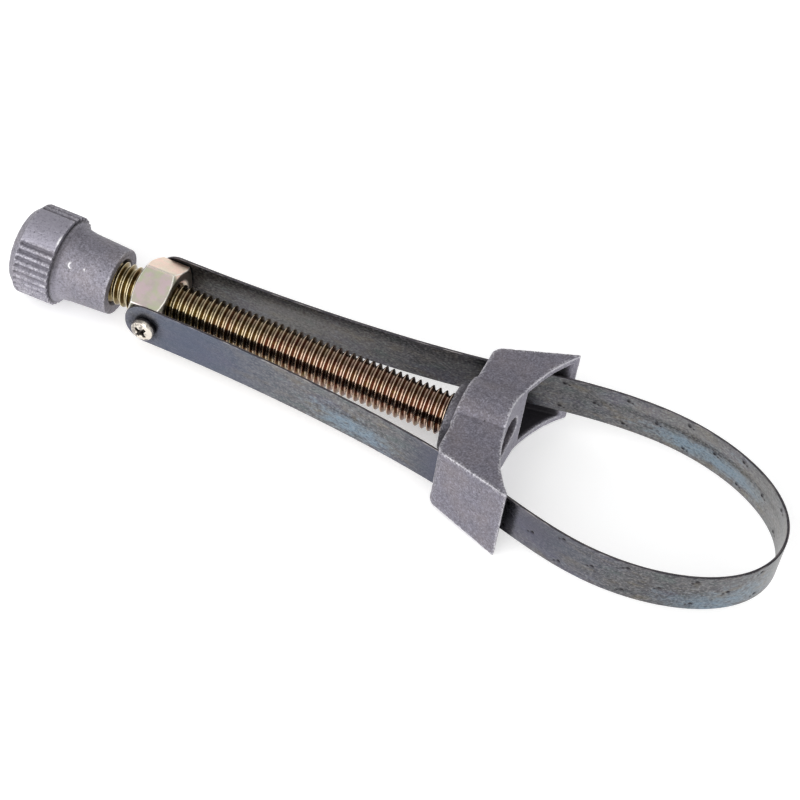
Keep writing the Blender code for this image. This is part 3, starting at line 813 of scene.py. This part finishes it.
def mark_knob(knob):
    """Store where hands have smoothed the knob, where its lower flare is painted lighter, where it
    is bare or painted with a highlight, and where painted shade darkens it.
    """
    x, y, z = point_array(knob.data).T
    radius = np.hypot(y, z)
    turn = np.arctan2(z, y)
    from_panel = np.abs((np.degrees(turn) - PANEL_AT_DEG + 90.0) % 180.0 - 90.0)
    on_panel = from_panel < 90.0 - RIBS_HALF_DEG
    handled_and_lit = np.where(x < KNOB_RIM + 0.2, np.where(on_panel, 1.15, 0.4), 0.16)
    handled_and_lit = np.where(x < KNOB_CAP_END + 0.05, 0.3, handled_and_lit)
    # Painted light: the flare below the rim is painted lighter toward its lower side, where the
    # front light falls.
    flare = smooth_step(x, KNOB_RIM + 9.0, KNOB_RIM + 2.0) * (x > KNOB_RIM + 0.5)
    handled_and_lit = np.maximum(handled_and_lit, 0.9 * flare * smooth_step(z, 9.0, -4.0))
    store(knob.data, "handled_and_lit", handled_and_lit)

    # A nick in the rim's edge: rubbed metal, painted bright also as a highlight.
    nick = 1.6 * bell(np.degrees(turn), RIM_NICK_DEG, RIM_NICK_HALF_DEG)
    nick *= (radius > KNOB_HEAD_R - 0.45) & (x < KNOB_RIM + 0.05)
    nick *= smooth_step(x, KNOB_RIM - 0.65, KNOB_RIM - 0.25)
    bare = np.maximum(stake_marks(x, turn, radius), nick)
    store(knob.data, "stake", np.clip(bare, 0.0, 1.0))

    # Painted shade under the rim's overhang, along the panel's edge and in the grooves on the far
    # side.
    under_rim = smooth_step(x, KNOB_RIM - 0.02, KNOB_RIM + 0.1) * (radius > 11.4)
    under_rim *= smooth_step(x, KNOB_RIM + 0.95, KNOB_RIM + 0.6)
    panel_edge = bell(x, KNOB_CAP_END, 0.2) * on_panel
    far_grooves = smooth_step(grip_grooves(x, turn), 0.15, 0.6) * smooth_step(y, 0.0, 3.0)
    painted_shade_and_grime = np.maximum(0.85 * under_rim, 0.4 * panel_edge)
    store(knob.data, "painted_shade_and_grime", np.maximum(painted_shade_and_grime, 0.55 * far_grooves))


def flat_ring(name, back_x, thick, outer_r, inner_r):
    edge = 0.12
    return turned(name, [
        (back_x, 0.5 * (outer_r + inner_r)),
        (back_x, outer_r, edge),
        (back_x + thick, outer_r, edge),
        (back_x + thick, inner_r, edge),
        (back_x, inner_r, edge),
        (back_x, 0.5 * (outer_r + inner_r)),
    ], 96)


def build_washer():
    washer = flat_ring("thrust_washer_turned", *WASHER)
    mark_bends(washer, 1.0)
    return washer


def build_retaining_ring():
    ring = flat_ring("retaining_ring_spring", *RING)
    mouth = box_solid("mouth", (4.0, 8.0, RING_MOUTH), Matrix.Translation((RING[0], 4.0, 0.0)))
    combine(ring, mouth, "DIFFERENCE")
    skin(ring, 0.12, 2)
    mark_bends(ring, 1.0)
    return ring


# -------------------------------- the nut and the strap

def box_solid(name, size, matrix, far_scale=1.0):
    """A box, or a frustum where its far end along X is scaled in Y and Z."""
    bm = bmesh.new()
    bmesh.ops.create_cube(bm, size=1.0)
    for vert in bm.verts:
        x, y, z = (part * whole for part, whole in zip(vert.co, size))
        scale = far_scale if x < 0.0 else 1.0
        vert.co = Vector((x, y * scale, z * scale))
    bm.transform(matrix)
    return from_bmesh(name, bm)


def screw_place(sign):
    """From a screw's own frame, X out of the nut, to the near (-1) or far (+1) side."""
    return Matrix((
        (0.0, -sign, 0.0, STRAP_SCREW_X),
        (sign, 0.0, 0.0, 0.0),
        (0.0, 0.0, 1.0, STRAP_SCREW_Z),
        (0.0, 0.0, 0.0, 1.0),
    ))


def drill_for_screws(obj, radius, middle, half, steps):
    """Cut the holes of the two strap screws, half their length each way from their middle."""
    for sign in (-1.0, 1.0):
        outline = [(-half, 0.0), (-half, radius), (half, radius), (half, 0.0)]
        hole = turned("hole", outline, steps)
        hole.data.transform(screw_place(sign) @ Matrix.Translation((middle, 0.0, 0.0)))
        combine(obj, hole, "DIFFERENCE")


def build_nut():
    """Hexagon nut with coned corners and a countersunk bore."""
    corner_r = NUT_FLATS / math.sqrt(3.0)
    bm = bmesh.new()
    middle = Matrix.Translation((0.5 * (NUT_START + NUT_END), 0.0, 0.0))
    lying = middle @ Matrix.Rotation(QUARTER_TURN, 4, "X") @ Matrix.Rotation(QUARTER_TURN, 4, "Y")
    bmesh.ops.create_cone(bm, cap_ends=True, segments=6, radius1=corner_r, radius2=corner_r,
                          depth=NUT_END - NUT_START, matrix=lying)
    nut = from_bmesh("nut_travelling", bm)
    outside = corner_r + 1.0
    cone = (outside - NUT_FACE_R) * math.tan(math.radians(NUT_CHAMFER_DEG))
    combine(nut, turned("cone", [
        (NUT_START, 0.0),
        (NUT_START, NUT_FACE_R),
        (NUT_START + cone, outside),
        (NUT_END - cone, outside),
        (NUT_END, NUT_FACE_R),
        (NUT_END, 0.0),
    ], 192), "INTERSECT")
    lead_r = NUT_BORE_R + NUT_LEAD
    lead = 0.6 * NUT_LEAD
    combine(nut, turned("bore", [
        (NUT_START - 1.0, 0.0),
        (NUT_START - 1.0, lead_r),
        (NUT_START, lead_r),
        (NUT_START + lead, NUT_BORE_R),
        (NUT_END - lead, NUT_BORE_R),
        (NUT_END, lead_r),
        (NUT_END + 1.0, lead_r),
        (NUT_END + 1.0, 0.0),
    ], 128), "DIFFERENCE")
    drill_for_screws(nut, NUT_SCREW_HOLE_R, 9.0, 6.0, 48)
    skin(nut, 0.17, 3)
    mark_bends(nut, 9.0, 1)
    x, y, z = point_array(nut.data).T
    inner_end = (x > NUT_END - 0.25) & (np.hypot(y, z) < NUT_FACE_R + 0.3)
    # Painted shade on the inner end face, which lies in shadow.
    store(nut.data, "shade", 0.65 * inner_end)
    return nut


def lean(x, y):
    """The loop leans a little to the near side, about a point in the saddle."""
    moved = Matrix.Rotation(math.radians(LOOP_LEAN_DEG), 2) @ Vector((x - LOOP_LEAN_X, y))
    return (moved.x + LOOP_LEAN_X, moved.y)


def strap_line():
    """The centreline, from the far end round the loop to the near end, in small equal steps.

    It is a Bezier curve. Each knot is (handle before, point, handle after).
    """
    slope = Vector((1.0, 0.222)).normalized()
    saddle = Vector((12.0, 19.8))
    half = [
        ((-94.6, STRAP_ARM_Y), (-93.6, STRAP_ARM_Y), (-91.0, STRAP_ARM_Y)),
        ((-89.0, STRAP_ARM_Y), (-86.0, STRAP_ARM_Y), (-57.0, STRAP_ARM_Y)),
        (tuple(saddle - 29.0 * slope), tuple(saddle), tuple(saddle + 15.5 * slope)),
    ]
    widest = ((42.0, 27.7), (57.0, 27.7), (78.5, 27.7))
    apex = tuple(lean(100.5, y) for y in (17.5, 0.0, -17.5))
    far = half + [tuple(lean(*point) for point in widest)]
    near = [tuple((x, -y) for x, y in knot) for knot in half]
    near.append(tuple(lean(x, -y) for x, y in widest))
    knots = far + [apex] + [tuple(reversed(knot)) for knot in reversed(near)]
    share = np.linspace(0.0, 1.0, 400, endpoint=False)[:, None]
    rest = 1.0 - share
    pieces = []
    for start, end in zip(knots, knots[1:]):
        a, b, c, d = (np.array(point) for point in (start[1], start[2], end[0], end[1]))
        middle = 3.0 * rest ** 2 * share * b + 3.0 * rest * share ** 2 * c
        pieces.append(rest ** 3 * a + middle + share ** 3 * d)
    pieces.append(np.array([knots[-1][1]]))
    points = np.concatenate(pieces)
    along = np.concatenate(([0.0], np.cumsum(np.linalg.norm(np.diff(points, axis=0), axis=1))))
    even = np.linspace(0.0, along[-1], 8000)
    return even, np.column_stack([np.interp(even, along, points[:, axis]) for axis in (0, 1)])


def punch_marks(length):
    """Where the gripping marks are, as (distance along, height): one and two in turn."""
    middle = 0.5 * length - 0.85
    single, pair = (0.3,), (5.1, -4.5)
    marks = [(middle, height) for height in single]
    for sign in (-1.0, 1.0):
        for column in range(PUNCH_COLUMNS):
            away = middle + sign * (PUNCH_FIRST + PUNCH_GAP * column)
            marks += [(away, height) for height in (single if column % 2 else pair)]
    return marks


def press_marks(s, v, length):
    """How deep the punch has pressed the band at each point, and how dark the dent is."""
    press = np.zeros_like(s)
    pit = np.zeros_like(s)
    for mark_s, mark_v in punch_marks(length):
        for offset, radius, depth in PUNCH_DENTS:
            away = np.hypot((s - mark_s - offset) * 0.85, v - mark_v + 0.35 * offset) / radius
            press += depth * (1.0 - smooth_step(away, 0.15, 1.0))
            pit = np.maximum(pit, 1.0 - smooth_step(away, 0.3, 0.95))
    return press, pit


def band_faces(rows, across):
    """Quads of two grids of points, one behind the other, joined all round their border."""
    count = rows * across
    faces = []
    for row in range(rows - 1):
        for column in range(across - 1):
            here = row * across + column
            quad = (here, here + 1, here + across + 1, here + across)
            faces.append(quad)
            faces.append(tuple(count + index for index in reversed(quad)))
    border = list(range(across))
    border += [row * across + across - 1 for row in range(1, rows)]
    border += [(rows - 1) * across + column for column in range(across - 2, -1, -1)]
    border += [row * across for row in range(rows - 2, 0, -1)]
    for here, after in zip(border, border[1:] + border[:1]):
        faces.append((here, after, after + count, here + count))
    return faces


def build_strap():
    """One band with round ends, swept along its line; the gripping marks are pressed into it."""
    along, line = strap_line()
    length = along[-1]
    half, corner = STRAP_HALF, STRAP_CORNER_R
    tip = corner * (1.0 - np.cos(np.linspace(0.0, QUARTER_TURN, 24)))
    arm = np.arange(corner + 0.6, STRAP_ARM, 0.8)
    loop = np.linspace(STRAP_ARM, length - STRAP_ARM, 760)
    rows = np.concatenate((tip, arm, loop, (length - arm)[::-1], (length - tip)[::-1]))
    rim = half - np.array((0.0, 0.03, 0.09, STRAP_EDGE))
    columns = np.sort(np.concatenate((-rim, np.linspace(-half, half, 49)[1:-1], rim)))
    s, v = (grid.ravel() for grid in np.meshgrid(rows, columns, indexing="ij"))

    into_end = np.maximum(corner - np.minimum(s, length - s), 0.0)
    reach = np.sqrt(np.maximum(corner ** 2 - into_end ** 2, 0.0))
    v = v * (half - corner + reach) / half
    inset = corner - np.hypot(into_end, np.maximum(np.abs(v) - half + corner, 0.0))
    inset = np.clip(inset, 0.0, STRAP_EDGE)
    edge = STRAP_EDGE - np.sqrt(STRAP_EDGE ** 2 - (STRAP_EDGE - inset) ** 2)
    press, pit = press_marks(s, v, length)

    tangent = np.gradient(line, axis=0)
    tangent /= np.linalg.norm(tangent, axis=1)[:, None]
    at_x, at_y, go_x, go_y = (np.interp(s, along, values) for values in (*line.T, *tangent.T))
    sheets = []
    for side in (1.0, -1.0):
        away = side * (0.5 * STRAP_THICK - edge) - press
        sheets.append(np.column_stack((at_x - go_y * away, at_y + go_x * away, v)))
    faces = band_faces(len(rows), len(columns))
    strap = from_points("strap_punched", np.concatenate(sheets), faces)
    store(strap.data, "pit", np.tile(pit, 2))
    store(strap.data, "rim", np.tile(1.0 - inset / STRAP_EDGE, 2))
    mend(strap)
    drill_for_screws(strap, STRAP_HOLE_R, STRAP_ARM_Y, 3.0, 64)
    mark_strap(strap, along, line)
    return strap


def patches(s, v, spots):
    """Soft oval spots on the band, as (along, height, half length, half width, strength)."""
    total = np.zeros(len(s))
    for centre, height, long, wide, strength in spots:
        total += strength * bell(s, centre, long) * bell(v, height, wide)
    return np.clip(total, 0.0, 1.0)


def mark_strap(strap, along, line):
    """Store each point's place on the unrolled band, where the steel is blue or pale, and where
    painted shade, shadow and reflection, with some grime, darken it.
    """
    tree = kdtree.KDTree(len(along))
    for index, (x, y) in enumerate(line):
        tree.insert((x, y, 0.0), index)
    tree.balance()
    points = point_array(strap.data)
    nearest = np.array([tree.find((x, y, 0.0))[1] for x, y, _ in points])
    s = along[nearest]
    v = points[:, 2]
    away_x, away_y = (points[:, :2] - line[nearest]).T
    go_x, go_y = np.gradient(line, axis=0)[nearest].T
    side = np.sign(away_y * go_x - away_x * go_y)
    store(strap.data, "flat", np.column_stack((s, v, 4.0 * side)))

    middle = 0.5 * along[-1]
    saddle_exit = 289.4
    store(strap.data, "bluing", patches(s, v, (
        (middle - 52.0, -3.0, 12.0, 3.0, 0.8),
        (middle - 33.0, -1.5, 15.0, 3.0, 0.9),
        (middle + 12.0, 0.0, 8.0, 9.0, 0.45),
        (middle + 26.0, -4.0, 13.0, 4.5, 0.7),
        (345.0, -2.5, 16.0, 4.0, 0.8),
    )))
    store(strap.data, "slate", patches(s, v, (
        (285.0, 2.0, 16.0, 8.0, 1.0),
        (317.0, 0.0, 9.0, 20.0, 1.0),
        (397.0, 0.0, 24.0, 20.0, 1.0),
    )))
    store(strap.data, "pale", patches(s, v, (
        (40.0, 0.0, 22.0, 5.5, 0.6),
        (middle - 50.0, 3.5, 26.0, 3.0, 0.4),
        (middle - 12.0, 0.0, 20.0, 9.0, 0.65),
    )))
    store(strap.data, "violet", smooth_step(s, 262.0, 285.0) * smooth_step(s, 340.0, 300.0))

    inside = side < 0.0
    outside = ~inside
    # Painted shade on the far arm's inner face: near the nut, in the shadow of the near arm and
    # screw, and along its upper part.
    painted_shade_and_grime = 0.9 * inside * smooth_step(s, 34.0, 6.0)
    painted_shade_and_grime += 0.9 * inside * (s < 110.0) * smooth_step(v, 2.0, 6.8)
    # A darker line along the far inner face of the loop, and a dark spot on its near side.
    painted_shade_and_grime += 0.9 * inside * bell(s, 165.0, 30.0) * bell(v, 1.4, 1.0)
    painted_shade_and_grime += 0.7 * bell(s, 345.0, 7.0) * bell(v, 1.0, 0.8)
    # Painted shadow and reflection of the saddle's wall on the outer face, just past its exit.
    past_saddle = smooth_step(s, saddle_exit, saddle_exit + 1.6) * smooth_step(s, 316.0, 296.0)
    painted_shade_and_grime += 0.9 * outside * past_saddle
    # Broad darker patches on the band.
    for face, centre, long, strength in (
            (inside, 88.0, 17.0, 0.7),
            (inside, 127.0, 10.0, 0.30),
            (outside, middle + 37.0, 17.0, 0.22),
            (outside, middle + 50.0, 26.0, 0.33),
            (outside, 322.0, 10.0, 0.25)):
        painted_shade_and_grime += strength * face * bell(s, centre, long)
    # Painted shadow and dark reflection round the screw heads.
    from_head = np.hypot(points[:, 0] - STRAP_SCREW_X, v - STRAP_SCREW_Z) - HEAD_R
    painted_shade_and_grime += bell(np.maximum(from_head, 0.0), 0.0, 1.5)
    store(strap.data, "painted_shade_and_grime", np.clip(painted_shade_and_grime, 0.0, 1.0))


def build_strap_screw(name, sign):
    """Pan head with a tapered cross recess."""
    top = HEAD_SEAT + HEAD_HIGH
    screw = turned(name, [
        (SHANK_END, 0.0),
        (SHANK_END, 1.4, 0.1),
        (SHANK_END + 0.4, SHANK_R, 0.1),
        (HEAD_SEAT, SHANK_R),
        (HEAD_SEAT, HEAD_R - 0.1, 0.2),
        (HEAD_SEAT + 0.8, HEAD_R, 0.6),
        (top - 0.55, HEAD_R - 0.35, 0.8),
        (top - 0.02, 1.7, 1.6),
        (top, 0.0),
    ], 96, 0.2)
    middle = top + 0.2 - 0.5 * RECESS_DEPTH
    for quarter in (0.0, QUARTER_TURN):
        turn = Matrix.Rotation(math.radians(RECESS_TURN_DEG) + quarter, 4, "X")
        size = (RECESS_DEPTH, RECESS_LENGTH, RECESS_WIDTH)
        arm = box_solid("arm", size, turn @ Matrix.Translation((middle, 0.0, 0.0)), 0.5)
        combine(screw, arm, "DIFFERENCE")
    bottom = middle - 0.5 * RECESS_DEPTH - 0.2
    centre = turned("centre", [
        (bottom, 0.0),
        (bottom, 0.45),
        (top + 0.3, 1.35),
        (top + 0.3, 0.0),
    ], 48)
    combine(screw, centre, "DIFFERENCE")
    skin(screw, 0.075, 3)
    mark_bends(screw, 1.6, 2)
    x, y, z = point_array(screw.data).T
    radius = np.hypot(y, z)
    dome = top - np.interp(radius, (0.0, 1.7, RECESS_REACH, HEAD_R), (0.0, 0.05, 0.3, 1.1))
    # Painted shade in the cross recess, and on the head's side near its seat.
    recess = smooth_step(dome - x, 0.22, 0.42) * (x > HEAD_SEAT + 0.05) * (radius < RECESS_REACH)
    under = 0.8 * smooth_step(x, HEAD_SEAT + 1.5, HEAD_SEAT + 0.7)
    store(screw.data, "recess", np.maximum(recess, under))
    screw.data.transform(screw_place(sign))
    return screw


# -------------------------------- the saddle

def saddle_painted_shade(points):
    """Painted shade: how dark the casting is painted in the strap's passages, in its bore and round
    its collar.
    """
    x, y = points[:, 0], np.abs(points[:, 1])
    height = np.abs(points[:, 2] + WINGS_LOWER)
    from_axis = np.hypot(y, points[:, 2])
    into_arc = np.hypot(x - SADDLE_ARC_X, y) - SADDLE_ARC_R
    share = (x - SADDLE_BACK) / (SADDLE_FRONT - SADDLE_BACK)
    passage = (height < np.interp(share, (0.0, 1.0), SADDLE_HALF_Z) - PASSAGE_ROOF)
    passage &= (y < np.interp(share, (0.0, 1.0), SADDLE_HALF_Y) - PASSAGE_WALL)
    passage &= (y > SADDLE_BARREL_R) & (x > SADDLE_BACK + 0.7)
    bore = (from_axis < SADDLE_BARREL_R - 0.2) & (x > SADDLE_BACK)
    collar = (from_axis < SADDLE_COLLAR_R) & (x < SADDLE_BACK - 0.4)
    # Painted shade, darkest deep in the passages, lighter in the bore and round the collar.
    painted_shade_and_grime = 0.95 * passage * smooth_step(into_arc, 0.1, 1.3)
    painted_shade_and_grime = np.maximum(painted_shade_and_grime, 0.6 * bore * smooth_step(into_arc, 0.2, 2.0))
    return np.maximum(painted_shade_and_grime, 0.55 * collar)


def build_saddle():
    """The casting's own solid, its edges rounded and its faces given a cast skin."""
    mesh = frame["nodes"]["saddle_casting"].data.copy()
    mesh.transform(TOOL_TO_ROW.inverted())
    saddle = add_object("saddle_cast", mesh)
    mend(saddle)
    skin(saddle, 0.23, 3)
    points = point_array(saddle.data)
    x, y = points[:, 0], points[:, 1]
    points[:, 2] -= WINGS_LOWER * smooth_step(np.abs(y), 7.0, 15.0)
    y -= NEAR_WALL_OUT * smooth_step(-y, 10.0, 20.0)
    saddle.data.vertices.foreach_set("co", points.ravel())
    saddle.data.update()
    ground = np.abs(np.hypot(x - SADDLE_ARC_X, y) - SADDLE_ARC_R) < 0.4
    store(saddle.data, "handled_and_lit", ground)
    # Painted shade in the passages, the bore and round the collar.
    store(saddle.data, "painted_shade_and_grime", saddle_painted_shade(points))
    roughen(saddle, 0.05, 1.6, 5.3)
    mark_bends(saddle, 6.0, 3)
    arris = smooth_step(fetch(saddle.data, "ridge"), 0.45, 0.9)
    # Painted highlight along the arris of the ground arc, on its bare metal.
    store(saddle.data, "stake", 0.8 * ground * arris)
    return saddle


saddle_look = cast_metal("cast_aluminium_saddle", (0.165, 0.157, 0.190), 0.13)
knob_look = cast_metal("cast_aluminium_knob", (0.180, 0.172, 0.203), 0.31)
plain_look = bright_plate("plain_steel", (0.50, 0.49, 0.47), 0.34, (0.34, 0.30, 0.25))
dark_look = bright_plate("dark_steel", (0.10, 0.10, 0.10), 0.40, (0.06, 0.055, 0.05))
# The nickel's dark blotches are painted reflections of dark surroundings.
nickel_look = bright_plate("bright_nickel", (0.76, 0.70, 0.62), 0.14, (0.15, 0.13, 0.12))

place(build_saddle(), "saddle", "saddle_casting", saddle_look)
place(build_knob(), "screw", "knob_casting", knob_look)
place(build_drive_screw(), "screw", "drive_screw", yellow_zinc())
place(build_washer(), "screw", "thrust_washer", plain_look)
place(build_retaining_ring(), "screw", "retaining_ring", dark_look)
place(build_nut(), "nut", "travelling_nut", pale_zinc())
place(build_strap(), "nut", "strap_band", blued_steel())
for side, sign in (("near", -1.0), ("far", 1.0)):
    strap_screw = build_strap_screw(f"strap_screw_{side}_pan", sign)
    place(strap_screw, "nut", f"strap_screw_{side}", nickel_look)


# -------------------------------- floor, light and camera

FLOOR_HALF = 3.0
FLOOR_GLOW = 0.35
CAMERA_AZIMUTH_DEG = 16.77
CAMERA_ELEVATION_DEG = 49.17
CAMERA_ROLL_DEG = 9.23
CAMERA_DISTANCE = 611.27
CAMERA_AIM = (-12.06, -2.38, 1.04)
CAMERA_LENS = 98.82


def build_floor():
    bm = bmesh.new()
    bmesh.ops.create_grid(bm, x_segments=1, y_segments=1, size=FLOOR_HALF)
    floor = from_bmesh("floor", bm)
    floor.location.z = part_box("saddle_casting")[0].z - 0.05 * MM
    look = Look("pale_floor")
    shade = look.noise(400.0, 2.0)
    dull_white, clean_white = (0.86, 0.86, 0.86), (0.90, 0.90, 0.90)
    colour = look.paint(dull_white, (look.ramp(shade, 0.3, 0.7), clean_white))
    normal = look.relief((shade, 0.01))
    floor.data.materials.append(look.surface(colour, 0.9, normal, 0.0, 0.1, FLOOR_GLOW))


def build_world():
    """A light tent: bright at the horizon and in front, dimmer overhead and behind."""
    world = bpy.data.worlds.new("light_tent")
    bpy.context.scene.world = world
    sky = Nodes(world)
    direction = sky.add("SeparateXYZ", {0: sky.add("TexCoord").outputs["Generated"]})
    overhead = sky.ramp(direction.outputs["Z"], 0.0, 1.0, 1.0, 0.32)
    behind = sky.ramp(direction.outputs["Y"], -1.0, 1.0, 1.35, 0.80)
    background = sky.add("Background", {"Color": overhead, "Strength": behind})
    sky.add("OutputWorld", {"Surface": background.outputs[0]})


def add_softbox(name, azimuth_deg, elevation_deg, distance, size, power):
    """A square area light that looks at the object from a direction."""
    data = bpy.data.lights.new(name, "AREA")
    data.size = size
    data.energy = power
    light = add_object(name, data)
    azimuth = math.radians(azimuth_deg)
    elevation = math.radians(elevation_deg)
    back = Vector((
        math.sin(azimuth) * math.cos(elevation),
        -math.cos(azimuth) * math.cos(elevation),
        math.sin(elevation),
    ))
    light.location = back * distance
    light.rotation_mode = "QUATERNION"
    light.rotation_quaternion = back.to_track_quat("Z", "Y")


def build_camera():
    data = bpy.data.cameras.new("camera")
    data.lens = CAMERA_LENS
    data.clip_start = 0.01
    camera = add_object("camera", data)
    aim = Matrix.Translation(TOOL_TO_ROW @ Vector(CAMERA_AIM))
    azimuth = Matrix.Rotation(math.radians(CAMERA_AZIMUTH_DEG), 4, "Z")
    elevation = Matrix.Rotation(QUARTER_TURN - math.radians(CAMERA_ELEVATION_DEG), 4, "X")
    roll = Matrix.Rotation(math.radians(CAMERA_ROLL_DEG), 4, "Z")
    back = Matrix.Translation((0.0, 0.0, CAMERA_DISTANCE * MM))
    camera.matrix_world = aim @ azimuth @ elevation @ roll @ back
    bpy.context.scene.camera = camera


build_floor()
build_world()
add_softbox("key_front", azimuth_deg=-20.0, elevation_deg=30.0, distance=1.2, size=1.5, power=11.0)
add_softbox("overhead", azimuth_deg=0.0, elevation_deg=74.0, distance=1.3, size=1.0, power=3.6)
build_camera()
bpy.context.scene.view_settings.view_transform = "Standard"
